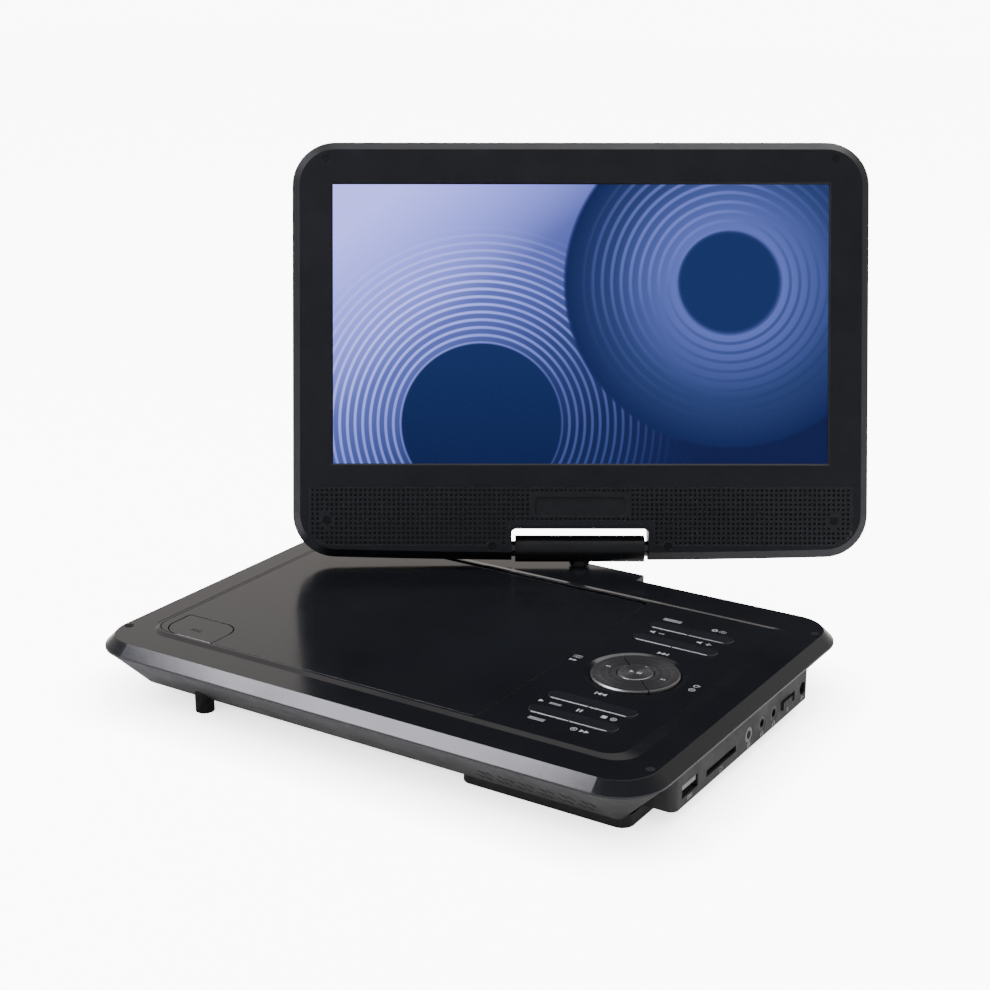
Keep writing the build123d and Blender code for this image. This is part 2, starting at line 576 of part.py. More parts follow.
# ---------------------------------------------------------------- screen
def screen_outline(inset):
    """The screen's outline, inset all round, with a bowed lower edge tangent to its corners."""
    half, r = SCREEN_W / 2 - inset, SCREEN_R - inset
    cx = SCREEN_W / 2 - SCREEN_R
    top, low = SCREEN_TOP - SCREEN_R, SCREEN_LOW + SCREEN_R
    between = (cx ** 2 + BOW ** 2) / (2 * BOW)      # from the bow's centre to a corner's centre
    lift = (between ** 2 - cx ** 2) ** 0.5
    bow_y = low + lift
    reach = between + r
    toe = (cx * reach / between, bow_y - lift * reach / between)
    low_end = atan2(toe[1] - low, toe[0] - cx)
    mid = low_end / 2
    edges = [
        Line((half, low), (half, top)),
        CenterArc((cx, top), r, 0, 90),
        Line((cx, top + r), (-cx, top + r)),
        CenterArc((-cx, top), r, 90, 90),
        Line((-half, top), (-half, low)),
        ThreePointArc((-half, low), (-cx - r * cos(mid), low + r * sin(mid)), (-toe[0], toe[1])),
        ThreePointArc((-toe[0], toe[1]), (0, bow_y - reach), toe),
        ThreePointArc(toe, (cx + r * cos(mid), low + r * sin(mid)), (half, low)),
    ]
    return make_face(edges)


def screen_slab(inset, y0, y1):
    """The outline as a plate between two depths; Y runs into the screen."""
    return extrude(Plane.XZ.offset(-y1) * screen_outline(inset), y1 - y0)


def screen_bevel(inset0, y0, inset1, y1):
    ends = [Plane.XZ.offset(-y) * screen_outline(i) for i, y in ((inset0, y0), (inset1, y1))]
    return loft(ends, ruled=True)


NOTCH_HALF, NOTCH_TOP = 30.9, 9.2
EDGE = 3.6                                    # bevel of the screen's two faces
GRILLE_HALF, GRILLE_LOW, GRILLE_HIGH, GRILLE_D = 122.6, 1.8, 27.9, 0.9


def notch(grow):
    """The gap in the lower edge that the hinge barrel stands in."""
    cut = RectangleRounded(2 * (NOTCH_HALF + grow), 2 * (NOTCH_TOP + 12 + grow), 2 + grow)
    return extrude(Plane.XZ.offset(-20) * Pos(0, -12) * cut, 40)


def window(w, h, y0, y1):
    return block(-w / 2, w / 2, y0, y1, LCD_V - h / 2, LCD_V + h / 2)


def grille_field(inset, y0, y1):
    """The sunk field of the speaker grille, below the picture and round the hinge notch."""
    half, low, high = GRILLE_HALF - inset, GRILLE_LOW + inset, GRILLE_HIGH - inset
    field = block(-half, half, y0, y1, low, high)
    field &= screen_slab(EDGE + 1.0 + inset, -FACE - 1, 0)
    field -= notch(2.2 + inset)
    for x, v in FACE_PLUGS:
        field -= bar_y(x, -FACE - 2, 0, v, PLUG_R + 0.8 + inset)
    return field


def screen_bezel():
    front = screen_slab(0, -FACE + EDGE, SPLIT)
    front += screen_bevel(0, -FACE + EDGE, EDGE, -FACE)
    room = screen_slab(2.2, -2.6, SPLIT) + screen_slab(5.2, -5.9, SPLIT)
    front -= room - notch(2.0)
    front -= notch(0)
    front -= window(LCD_W, LCD_H, -10, 0)
    rim = [Plane.XZ.offset(y) * Pos(0, LCD_V) * Rectangle(LCD_W + 2 * g, LCD_H + 2 * g)
           for y, g in ((FACE + 0.2, 0.9), (FACE - 0.7, 0.0))]
    front -= loft(rim, ruled=True)
    front -= grille_field(0, -FACE - 0.5, -FACE + GRILLE_D)
    front -= bar_x(-36.3, 36.3, 0, 0, SHAFT_R + 0.1) - bar_x(-30, 30, 0, 0, 5)
    for x, v in FACE_PLUGS:
        front += bar_y(x, -6.4, SPLIT, v, 3.0) & screen_slab(0.5, -6.4, SPLIT)
        front -= bar_y(x, -FACE - 1, -5.1, v, PLUG_R)
        front -= bar_y(x, -6, 2, v, SCREW_R)
    return on_screen(front)


def screen_back():
    back = screen_slab(0, SPLIT, BACK - EDGE)
    back += screen_bevel(0, BACK - EDGE, EDGE, BACK)
    room = screen_slab(2.2, SPLIT, 3.2) + screen_slab(5.2, SPLIT, BACK - 1.6)
    back -= room - notch(2.0)
    back -= notch(0)
    back -= bar_x(-36.3, 36.3, 0, 0, SHAFT_R + 0.1) - bar_x(-30, 30, 0, 0, 5)
    for x, v in FACE_PLUGS:
        back += bar_y(x, SPLIT, 6.2, v, 3.0) & screen_slab(0.5, SPLIT, BACK - 1.4)
        back -= bar_y(x, 0, 5.0, v, SCREW_R)
    return on_screen(back)


def lcd_panel():
    return on_screen(window(LCD_W + 5, LCD_H + 6, -5.85, -4.5))


def backlight():
    tray = window(LCD_W + 10, LCD_H + 15, -4.45, -0.8)
    return on_screen(tray)


def screen_board():
    board = block(-32, 32, -1.4, -0.2, 13, 28)
    for x, w in ((-18, 12), (6, 9), (22, 6)):
        board += block(x - w / 2, x + w / 2, -0.3, 0.9, 16, 25)
    return on_screen(board)


def speakers():
    def speaker(x):
        frame = extrude(Plane.XZ.offset(0.8) * Pos(x, 16) * RectangleRounded(36, 16, 7.5), 4.6)
        magnet = bar_y(x, -0.9, 3.0, 16, 6.5)
        return frame + magnet

    return on_screen(joined([speaker(x) for x in (-86, 86)]))


def speaker_grille():
    """Perforated plate in the bezel's sunk field, with a blank recess for a label."""
    plate = grille_field(0.05, -FACE, -FACE + GRILLE_D - 0.05)
    label = Plane.XZ.offset(FACE - 0.5) * Pos(0, 19.3) * RectangleRounded(41, 8.6, 2.5)
    return on_screen(plate - extrude(label, 2))


def screen_plugs():
    return on_screen(joined([bar_y(x, -FACE + 0.1, -FACE + 1.0, v, PLUG_R) for x, v in FACE_PLUGS]))


def screen_screws():
    def screw(x, v):
        head = bar_y(x, -6.2, -5.1, v, PLUG_R - 0.1) - bar_y(x, -6.5, -5.6, v, 0.7)
        return head + bar_y(x, -5.1, 4.6, v, SCREW_R)

    return on_screen(joined([screw(x, v) for x, v in FACE_PLUGS]))


# ---------------------------------------------------------------- all the nodes
nodes = {
    "upper_case": upper_case(),
    "lower_case": lower_case(),
    "base_plugs": base_plugs(),
    "case_screws": case_screws(),
    "rubber_feet": rubber_feet(),
    "battery_cover": battery_cover(),
    "battery_pack": battery_pack(),
    "main_board": main_board(),
    "usb_socket": usb_socket(),
    "card_slot": card_slot(),
    "av_jack": jack(AV_Y, PLUG_BORE),
    "headphone_jack_a": jack(PHONE_Y[0], PLUG_BORE),
    "headphone_jack_b": jack(PHONE_Y[1], PLUG_BORE),
    "dc_jack": dc_jack(),
    "power_switch_body": power_switch_body(),
    "power_switch_knob": power_switch_knob(),
    "key_board": key_board(),
    "dome_switches": dome_switches(),
    "pad_right": ring_key(0),
    "pad_up": ring_key(90),
    "pad_left": ring_key(180),
    "pad_down": ring_key(270),
    "pad_centre": pad_centre(),
    "disc_door": disc_door(),
    "door_hinge_pin": door_hinge_pin(),
    "door_button": door_button(),
    "button_spring": button_spring(),
    "loader_chassis": loader_chassis(),
    "loader_dampers": loader_dampers(),
    "spindle_motor": spindle_motor(),
    "turntable": turntable(),
    "guide_rods": guide_rods(),
    "pickup_sled": pickup_sled(),
    "pickup_lens": pickup_lens(),
    "sled_motor": sled_motor(),
    "feed_screw": feed_screw(),
    "swivel_bracket": swivel_bracket(),
    "swivel_post": swivel_post(),
    "swivel_nut": swivel_nut(),
    "barrel_front": barrel_half(True),
    "barrel_rear": barrel_half(False),
    "hinge_bracket": hinge_bracket(),
    "tilt_shafts": tilt_shafts(),
    "screen_bezel": screen_bezel(),
    "screen_back": screen_back(),
    "lcd_panel": lcd_panel(),
    "backlight": backlight(),
    "screen_board": screen_board(),
    "speakers": speakers(),
    "speaker_grille": speaker_grille(),
    "screen_plugs": screen_plugs(),
    "screen_screws": screen_screws(),
}
for row in range(4):
    for side in (-1, 1):
        nodes[f"key_{2 * row + (1 if side < 0 else 2)}"] = long_key(row, side)

# the origin goes to the middle of the footprint
boxes = [shape.bounding_box() for shape in nodes.values()]
mid_x = (min(b.min.X for b in boxes) + max(b.max.X for b in boxes)) / 2
mid_y = (min(b.min.Y for b in boxes) + max(b.max.Y for b in boxes)) / 2
shift = Pos(-mid_x, -mid_y, 0)
print("shift", -mid_x, -mid_y)
for name, shape in nodes.items():
    solids = [shift * solid for solid in shape.solids()]
    export_step(solids[0] if len(solids) == 1 else Compound(solids), f"parts/{name}.step")
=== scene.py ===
import math

import bmesh
import bpy
from mathutils import Euler, Matrix, Vector


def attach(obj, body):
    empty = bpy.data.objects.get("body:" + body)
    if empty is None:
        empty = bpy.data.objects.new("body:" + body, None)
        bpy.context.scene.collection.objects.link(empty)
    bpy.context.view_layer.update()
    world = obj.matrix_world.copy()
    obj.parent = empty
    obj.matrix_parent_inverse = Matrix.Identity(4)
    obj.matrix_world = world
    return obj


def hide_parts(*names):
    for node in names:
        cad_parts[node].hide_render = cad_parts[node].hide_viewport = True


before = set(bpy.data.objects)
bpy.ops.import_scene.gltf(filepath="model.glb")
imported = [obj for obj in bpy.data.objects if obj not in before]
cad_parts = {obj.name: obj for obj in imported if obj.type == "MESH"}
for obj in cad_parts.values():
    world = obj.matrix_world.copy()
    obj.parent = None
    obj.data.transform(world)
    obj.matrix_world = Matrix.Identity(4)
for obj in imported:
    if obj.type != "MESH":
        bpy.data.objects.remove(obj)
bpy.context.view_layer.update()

MM = 0.001
SHIFT = Vector((3.695756, -56.592746, 0.0)) * MM   # base frame to row frame
HINGE = Vector((0.0, 90.6, 35.1)) * MM + SHIFT
LEAN, SWIVEL = 16.9, 32.3                          # the screen's rest angles, in degrees
SCREEN_TURN = Euler((math.radians(-LEAN), 0.0, math.radians(SWIVEL)))
SCREEN_MATRIX = Matrix.Translation(HINGE) @ SCREEN_TURN.to_matrix().to_4x4()
PANEL_Z = 27.6                                     # raised panel of the base
PAD = (79.9, -3.9)                                 # middle of the ring of keys
LCD_W, LCD_V = 222.7, 101.25                       # lit area: width, height of its middle
FACE_Y = -7.3                                      # front of the bezel, screen frame
PORT_X = 127.5                                     # socket wall
GLOW = 2.4                                         # strength of the lit picture


# ---------------------------------------------------------------- node material kit
class Look:
    """A principled material with small helpers for procedural detail."""

    def __init__(self, name, color, rough, metal=0.0, spec=0.5, coat=0.0, coat_rough=0.05):
        self.mat = bpy.data.materials.new(name)
        self.mat.use_nodes = True
        self.tree = self.mat.node_tree
        self.bsdf = self.tree.nodes["Principled BSDF"]
        self.color = color
        self.base_socket = None
        self.rough_socket = None
        self.height = None
        self.bsdf.inputs["Base Color"].default_value = (*color, 1.0)
        self.bsdf.inputs["Roughness"].default_value = rough
        self.bsdf.inputs["Metallic"].default_value = metal
        self.bsdf.inputs["Specular IOR Level"].default_value = spec
        self.bsdf.inputs["Coat Weight"].default_value = coat
        self.bsdf.inputs["Coat Roughness"].default_value = coat_rough
        self.coord = self.tree.nodes.new("ShaderNodeTexCoord").outputs["Object"]

    def link(self, a, b):
        self.tree.links.new(a, b)

    def math(self, op, a, b=0.0, clamp=False):
        node = self.tree.nodes.new("ShaderNodeMath")
        node.operation = op
        node.use_clamp = clamp
        for socket, value in zip(node.inputs, (a, b)):
            if isinstance(value, (int, float)):
                socket.default_value = value
            else:
                self.link(value, socket)
        return node.outputs[0]

    def mapping(self, scale=(1, 1, 1), location=(0, 0, 0), rotation=(0, 0, 0), kind="POINT"):
        node = self.tree.nodes.new("ShaderNodeMapping")
        node.vector_type = kind
        node.inputs["Location"].default_value = location
        node.inputs["Rotation"].default_value = rotation
        node.inputs["Scale"].default_value = scale
        self.link(self.coord, node.inputs["Vector"])
        return node.outputs[0]

    def noise(self, scale, detail=2.0, roughness=0.5, vector=None):
        node = self.tree.nodes.new("ShaderNodeTexNoise")
        node.inputs["Scale"].default_value = scale
        node.inputs["Detail"].default_value = detail
        node.inputs["Roughness"].default_value = roughness
        self.link(vector or self.coord, node.inputs["Vector"])
        return node.outputs["Fac"]

    def cells(self, scale, feature="F1", vector=None):
        node = self.tree.nodes.new("ShaderNodeTexVoronoi")
        node.feature = feature
        node.inputs["Scale"].default_value = scale
        self.link(vector or self.coord, node.inputs["Vector"])
        return node.outputs["Distance"]

    def ramp(self, value, stops):
        node = self.tree.nodes.new("ShaderNodeValToRGB")
        ramp = node.color_ramp
        while len(ramp.elements) < len(stops):
            ramp.elements.new(0.5)
        for element, (at, color) in zip(ramp.elements, stops):
            element.position = at
            rgb = (color, color, color) if isinstance(color, (int, float)) else color
            element.color = (*rgb, 1.0)
        self.link(value, node.inputs["Fac"])
        return node.outputs["Color"]

    def mix(self, fac, a, b):
        node = self.tree.nodes.new("ShaderNodeMix")
        node.data_type = "RGBA"
        for socket, value in ((node.inputs["Factor"], fac), (node.inputs[6], a),
                              (node.inputs[7], b)):
            if isinstance(value, (int, float)):
                socket.default_value = value
            elif isinstance(value, tuple):
                socket.default_value = (*value, 1.0)
            else:
                self.link(value, socket)
        return node.outputs[2]

    def tint(self, value, low, high):
        """Base colour runs from low to high as value goes from 0.3 to 0.7."""
        self.base_socket = self.ramp(value, ((0.3, low), (0.7, high)))
        return self

    def roughen(self, value, low, high):
        node = self.tree.nodes.new("ShaderNodeMapRange")
        node.inputs["From Min"].default_value = 0.3
        node.inputs["From Max"].default_value = 0.7
        node.inputs["To Min"].default_value = low
        node.inputs["To Max"].default_value = high
        self.link(value, node.inputs["Value"])
        self.rough_socket = node.outputs["Result"]
        return self

    def bump(self, height, distance, strength=1.0):
        """Adds one more layer of relief."""
        node = self.tree.nodes.new("ShaderNodeBump")
        node.inputs["Distance"].default_value = distance
        node.inputs["Strength"].default_value = strength
        self.link(height, node.inputs["Height"])
        if self.height is not None:
            self.link(self.height, node.inputs["Normal"])
        self.height = node.outputs["Normal"]
        return self

    def soft_edges(self, radius):
        """Rounds the sharp edges for the light, before any relief."""
        node = self.tree.nodes.new("ShaderNodeBevel")
        node.samples = 3
        node.inputs["Radius"].default_value = radius
        self.height = node.outputs["Normal"]
        return self

    def worn_edges(self, radius, color, amount=0.5):
        """Lightens the edges, where hands and cloths have rubbed them."""
        node = self.tree.nodes.new("ShaderNodeBevel")
        node.samples = 3
        node.inputs["Radius"].default_value = radius
        geometry = self.tree.nodes.new("ShaderNodeNewGeometry")
        dot = self.tree.nodes.new("ShaderNodeVectorMath")
        dot.operation = "DOT_PRODUCT"
        self.link(node.outputs["Normal"], dot.inputs[0])
        self.link(geometry.outputs["Normal"], dot.inputs[1])
        edge = self.ramp(dot.outputs["Value"], ((0.72, 1.0), (0.99, 0.0)))
        patches = self.ramp(self.noise(400, 4), ((0.4, 0.2), (0.65, 1.0)))
        patchy = self.math("MULTIPLY", edge, patches)
        mask = self.math("MULTIPLY", patchy, amount)
        base = self.base_socket if self.base_socket is not None else self.color
        self.base_socket = self.mix(mask, base, color)
        return self

    def done(self):
        if self.base_socket is not None:
            self.link(self.base_socket, self.bsdf.inputs["Base Color"])
        if self.rough_socket is not None:
            self.link(self.rough_socket, self.bsdf.inputs["Roughness"])
        if self.height is not None:
            self.link(self.height, self.bsdf.inputs["Normal"])
        return self.mat


def shade(color, factor):
    return tuple(factor * c for c in color)


def gloss(name, color, rough=(0.05, 0.14), spec=0.5, edge=0.00035):
    """Polished moulding: faint flow waves, wiped smudges and a few dull specks."""
    look = Look(name, color, rough[0], spec=spec)
    smudge = look.noise(28, 5, 0.62)
    look.tint(look.noise(16, 3), shade(color, 0.82), shade(color, 1.2))
    look.roughen(smudge, *rough)
    look.soft_edges(edge)
    look.bump(look.noise(220, 2), 0.000006)
    look.bump(look.ramp(look.noise(3200, 1), ((0.68, 0.0), (0.74, 1.0))), 0.000004)
    look.worn_edges(0.0003, (0.12, 0.12, 0.125), 0.35)
    return look.done()


def satin(name, color, rough=(0.34, 0.46), grain=2600, depth=0.000018, spec=0.5, edge=0.0003):
    """Fine moulded grain with a soft sheen."""
    look = Look(name, color, rough[0], spec=spec)
    look.tint(look.noise(42, 4, 0.6), shade(color, 0.84), shade(color, 1.18))
    look.roughen(look.noise(60, 5, 0.65), *rough)
    look.soft_edges(edge)
    look.bump(look.noise(grain, 3, 0.7), depth)
    look.bump(look.noise(300, 2), 0.000008)
    look.worn_edges(0.0003, (0.16, 0.16, 0.165), 0.4)
    return look.done()


def grained(name, color, rough=(0.5, 0.66), grain=1500, depth=0.00004):
    """Coarser spark-eroded grain, as on the underside of a case."""
    look = Look(name, color, rough[0], spec=0.45)
    cells = look.cells(grain)
    look.tint(look.noise(50, 4, 0.6), shade(color, 0.86), shade(color, 1.16))
    look.roughen(look.noise(90, 4, 0.6), *rough)
    look.soft_edges(0.0003)
    look.bump(cells, depth)
    look.bump(look.noise(grain * 2, 2), depth * 0.5)
    look.worn_edges(0.00035, (0.2, 0.2, 0.2), 0.4)
    return look.done()


def rubber(name, color):
    look = Look(name, color, 0.8, spec=0.3)
    look.tint(look.noise(300, 5, 0.7), shade(color, 0.8), shade(color, 1.5))
    look.roughen(look.noise(500, 3), 0.68, 0.9)
    look.soft_edges(0.0003)
    look.bump(look.noise(2200, 4, 0.7), 0.00005)
    return look.done()


def metal(name, color, rough=(0.25, 0.4), along=(1, 1, 1), depth=0.000006, stain=0.7):
    """Worked metal; along stretches the tool marks along an axis."""
    look = Look(name, color, rough[0], metal=1.0)
    marks = look.noise(1500, 3, 0.7, look.mapping(scale=along))
    blotch = look.noise(180, 5, 0.6)
    look.tint(blotch, shade(color, stain), color)
    look.roughen(look.mix(0.5, marks, blotch), *rough)
    look.soft_edges(0.0002)
    look.bump(marks, depth)
    return look.done()


def board(name, color):
    """Solder mask over tracks, with pads."""
    look = Look(name, color, 0.35, spec=0.5)
    bricks = look.tree.nodes.new("ShaderNodeTexBrick")
    bricks.inputs["Scale"].default_value = 160
    bricks.inputs["Mortar Size"].default_value = 0.035
    bricks.inputs["Color1"].default_value = (*color, 1)
    bricks.inputs["Color2"].default_value = (*shade(color, 0.75), 1)
    bricks.inputs["Mortar"].default_value = (*shade(color, 2.1), 1)
    look.link(look.coord, bricks.inputs["Vector"])
    pads = look.ramp(look.cells(420), ((0.16, 1.0), (0.2, 0.0)))
    look.base_socket = look.mix(pads, bricks.outputs["Color"], (0.62, 0.56, 0.4))
    look.roughen(look.noise(300, 3), 0.25, 0.45)
    look.bump(bricks.outputs["Fac"], 0.00004)
    return look.done()


def spun(name, centre, color, rough=0.3):
    """Metallic film with turning marks round a centre, bright and dark in sectors."""
    look = Look(name, color, rough, metal=0.85)
    look.bsdf.inputs["Anisotropic"].default_value = 0.85
    place = look.mapping(location=shade(centre, -1))
    flat = look.tree.nodes.new("ShaderNodeVectorMath")
    flat.operation = "CROSS_PRODUCT"
    flat.inputs[0].default_value = (0, 0, 1)
    look.link(place, flat.inputs[1])
    turn = look.tree.nodes.new("ShaderNodeVectorTransform")
    turn.vector_type = "VECTOR"
    turn.convert_from = "OBJECT"
    turn.convert_to = "WORLD"
    look.link(flat.outputs[0], turn.inputs[0])
    unit = look.tree.nodes.new("ShaderNodeVectorMath")
    unit.operation = "NORMALIZE"
    look.link(turn.outputs[0], unit.inputs[0])
    look.link(unit.outputs[0], look.bsdf.inputs["Tangent"])
    length = look.tree.nodes.new("ShaderNodeVectorMath")
    length.operation = "LENGTH"
    look.link(place, length.inputs[0])
    radial = look.ramp(length.outputs["Value"], ((0.0, 0.0), (1.0, 1.0)))
    rings = look.noise(900, 2, 0.5, radial)
    look.tint(rings, shade(color, 0.88), shade(color, 1.08))
    look.roughen(rings, rough - 0.03, rough + 0.03)
    look.soft_edges(0.0003)
    look.bump(rings, 0.000003)
    return look.done()


def row(x, y, z):
    """A point of the base frame, in millimetres, as a row-frame position in metres."""
    return Vector((x, y, z)) * MM + SHIFT


# ---------------------------------------------------------------- the picture
def picture():
    """A lit abstract wallpaper: soft discs, fine arcs and a slow fade of blue."""
    look = Look("lcd_panel_look", (0.004, 0.004, 0.005), 0.25, spec=0.1)
    turn = tuple(SCREEN_TURN)
    local = look.mapping(location=tuple(HINGE), rotation=turn, kind="TEXTURE")
    split = look.tree.nodes.new("ShaderNodeSeparateXYZ")
    look.link(local, split.inputs[0])
    u = look.math("MULTIPLY", split.outputs["X"], 1 / (LCD_W * MM))
    above = look.math("SUBTRACT", split.outputs["Z"], LCD_V * MM)
    v = look.math("MULTIPLY", above, 1 / (LCD_W * MM))

    def distance(cu, cv):
        du = look.math("SUBTRACT", u, cu)
        dv = look.math("SUBTRACT", v, cv)
        return look.math("SQRT", look.math("ADD", look.math("MULTIPLY", du, du),
                                           look.math("MULTIPLY", dv, dv)))

    def disc(dist, radius, soft):
        return look.ramp(dist, ((radius - soft, 1.0), (radius, 0.0)))

    def arcs(dist, pitch, width):
        wave = look.math("FRACT", look.math("MULTIPLY", dist, 1 / pitch))
        fold = look.math("ABSOLUTE", look.math("SUBTRACT", wave, 0.5))
        return look.ramp(fold, ((width - 0.07, 1.0), (width + 0.07, 0.0)))

    def paint(*stops):
        return tuple((at, shade(color, 1 / GLOW)) for at, color in stops)

    # slow fade from the pale top left to the deep lower right
    fade = look.math("ADD", look.math("MULTIPLY", u, 0.78), look.math("MULTIPLY", v, -0.95))
    fade = look.math("ADD", fade, 0.55)
    ground = look.ramp(fade, paint(
        (0.0, (0.73, 0.74, 2.25)), (0.16, (0.42, 0.46, 1.6)), (0.34, (0.12, 0.155, 0.60)),
        (0.55, (0.032, 0.055, 0.205)), (0.75, (0.0121, 0.0195, 0.106)),
        (1.0, (0.0068, 0.0119, 0.0785))))
    pale = look.ramp(fade, paint(
        (0.0, (1.15, 1.15, 2.3)), (0.22, (0.75, 0.8, 2.1)), (0.42, (0.31, 0.37, 1.26)),
        (0.62, (0.10, 0.14, 0.5)), (0.82, (0.04, 0.07, 0.26)), (1.0, (0.014, 0.028, 0.14))))
    low = distance(-0.20, -0.20)
    high = distance(0.30, 0.085)
    outside = look.math("SUBTRACT", 1.0, disc(high, 0.335, 0.006))
    band_low = look.math("MULTIPLY", disc(low, 0.40, 0.12), outside)
    lines = look.math("MULTIPLY", band_low, arcs(low, 0.0155, 0.17))
    color = look.mix(lines, ground, pale)
    # the large disc at the right, with wide soft rings that close in on its middle
    inside = look.ramp(look.math("MULTIPLY", high, 3.0), paint(
        (0.0, (0.22, 0.27, 1.0)), (0.4, (0.103, 0.1424, 0.5175)), (0.7, (0.03, 0.055, 0.2)),
        (0.98, (0.010, 0.020, 0.11))))
    rings = look.math("MULTIPLY", arcs(high, 0.019, 0.17), disc(high, 0.30, 0.16))
    inside = look.mix(look.math("MULTIPLY", rings, 0.75), inside, pale)
    color = look.mix(disc(high, 0.335, 0.004), color, inside)
    deep = look.ramp(look.math("ADD", v, 0.5), paint(
        (0.2, (0.006, 0.014, 0.085)), (0.5, (0.012, 0.03, 0.14))))
    color = look.mix(disc(high, 0.105, 0.004), color, deep)
    color = look.mix(disc(low, 0.165, 0.004), color, deep)
    look.link(color, look.bsdf.inputs["Emission Color"])
    mirrored = look.tree.nodes.new("ShaderNodeLightPath").outputs["Is Glossy Ray"]
    look.link(look.math("MULTIPLY", look.math("SUBTRACT", 1.0, mirrored), GLOW),
              look.bsdf.inputs["Emission Strength"])
    look.roughen(look.noise(2200, 2), 0.2, 0.3)
    look.bump(look.noise(5000, 1), 0.000004)
    return look.done()


# ---------------------------------------------------------------- finishes of the CAD nodes
BLACK = (0.0055, 0.0058, 0.0066)
PIANO = (0.0078, 0.0088, 0.0108)

looks = {
    "upper_case": gloss("upper_case_look", PIANO, (0.11, 0.2), spec=0.42),
    "disc_door": gloss("disc_door_look", PIANO, (0.13, 0.2), spec=0.42),
    "door_button": gloss("door_button_look", PIANO, (0.12, 0.2), spec=0.42),
    "lower_case": grained("lower_case_look", (0.025, 0.0235, 0.023)),
    "screen_bezel": satin("screen_bezel_look", (0.0082, 0.0096, 0.0125), spec=0.36),
    "screen_back": gloss("screen_back_look", PIANO, (0.08, 0.18), spec=0.45),
    "lcd_panel": picture(),
    "battery_cover": grained("battery_cover_look", (0.009, 0.009, 0.0095)),
    "battery_pack": satin("battery_pack_look", (0.05, 0.09, 0.28), (0.3, 0.5), 900),
    "barrel_front": satin("barrel_front_look", (0.008, 0.0085, 0.0095), (0.3, 0.42)),
    "barrel_rear": satin("barrel_rear_look", (0.008, 0.0085, 0.0095), (0.3, 0.42)),
    "usb_socket": metal("usb_socket_look", (0.34, 0.34, 0.35), (0.3, 0.44), (8, 1, 1)),
    "card_slot": metal("card_slot_look", (0.2, 0.2, 0.21), (0.35, 0.5), (8, 1, 1)),
    "av_jack": satin("av_jack_look", (0.16, 0.16, 0.15), (0.35, 0.5), 1600),
    "headphone_jack_a": satin("headphone_jack_a_look", (0.02, 0.02, 0.021), (0.35, 0.5)),
    "headphone_jack_b": satin("headphone_jack_b_look", (0.02, 0.02, 0.021), (0.35, 0.5)),
    "dc_jack": satin("dc_jack_look", (0.03, 0.03, 0.031), (0.35, 0.5)),
    "power_switch_body": metal("power_switch_body_look", (0.35, 0.35, 0.36), (0.3, 0.45)),
    "power_switch_knob": satin("power_switch_knob_look", (0.016, 0.016, 0.017), (0.38, 0.52)),
    "swivel_post": metal("swivel_post_look", (0.2, 0.19, 0.185), (0.1, 0.22), (1, 1, 14)),
    "swivel_nut": metal("swivel_nut_look", (0.3, 0.3, 0.3), (0.3, 0.45)),
    "swivel_bracket": metal("swivel_bracket_look", (0.45, 0.46, 0.47), (0.3, 0.45), (1, 9, 9)),
    "hinge_bracket": metal("hinge_bracket_look", (0.3, 0.3, 0.31), (0.25, 0.4), (9, 1, 1)),
    "tilt_shafts": metal("tilt_shafts_look", (0.16, 0.155, 0.15), (0.22, 0.36), (9, 1, 1)),
    "loader_chassis": metal("loader_chassis_look", (0.5, 0.51, 0.52), (0.3, 0.45), (1, 9, 1)),
    "spindle_motor": metal("spindle_motor_look", (0.5, 0.5, 0.51), (0.2, 0.34)),
    "guide_rods": metal("guide_rods_look", (0.62, 0.62, 0.63), (0.08, 0.18), (9, 1, 9)),
    "feed_screw": metal("feed_screw_look", (0.5, 0.5, 0.51), (0.18, 0.3), (1, 9, 1)),
    "sled_motor": metal("sled_motor_look", (0.45, 0.45, 0.46), (0.2, 0.35), (9, 1, 9)),
    "pickup_sled": metal("pickup_sled_look", (0.33, 0.33, 0.34), (0.4, 0.6), depth=0.00002),
    "dome_switches": metal("dome_switches_look", (0.65, 0.65, 0.63), (0.2, 0.35)),
    "case_screws": metal("case_screws_look", (0.4, 0.4, 0.4), (0.25, 0.4)),
    "screen_screws": metal("screen_screws_look", (0.4, 0.4, 0.4), (0.25, 0.4)),
    "door_hinge_pin": metal("door_hinge_pin_look", (0.5, 0.5, 0.5), (0.2, 0.3), (1, 9, 9)),
    "button_spring": metal("button_spring_look", (0.5, 0.5, 0.5), (0.2, 0.35)),
    "backlight": satin("backlight_look", (0.7, 0.7, 0.68), (0.4, 0.55), 1200),
    "turntable": satin("turntable_look", (0.015, 0.015, 0.016), (0.4, 0.55)),
    "speakers": satin("speakers_look", (0.02, 0.02, 0.021), (0.45, 0.6)),
    "pickup_lens": gloss("pickup_lens_look", (0.16, 0.2, 0.34), (0.03, 0.08), edge=0.0001),
    "main_board": board("main_board_look", (0.02, 0.13, 0.05)),
    "key_board": board("key_board_look", (0.02, 0.13, 0.05)),
    "screen_board": board("screen_board_look", (0.02, 0.13, 0.05)),
}
# The rubber colour is partly the rubber's own black and partly painted shade: it is darkened to
# stand in for the shadow in the sunk plugs' recesses.
for name in ("base_plugs", "screen_plugs", "rubber_feet", "loader_dampers"):
    looks[name] = rubber(name + "_look", (0.004, 0.004, 0.0045))
key_look = gloss("key_look", (0.012, 0.0135, 0.016), (0.1, 0.2), spec=0.5, edge=0.0003)
for k in range(1, 9):
    looks[f"key_{k}"] = key_look
pad_look = spun("pad_look", row(*PAD, 0), (0.19, 0.186, 0.19), 0.2)
for name in ("pad_up", "pad_down", "pad_left", "pad_right"):
    looks[name] = pad_look
looks["pad_centre"] = spun("pad_centre_look", row(*PAD, 0), (0.22, 0.215, 0.215), 0.24)

for name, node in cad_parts.items():
    if name not in looks:
        continue
    node.data.materials.clear()
    node.data.materials.append(looks[name])


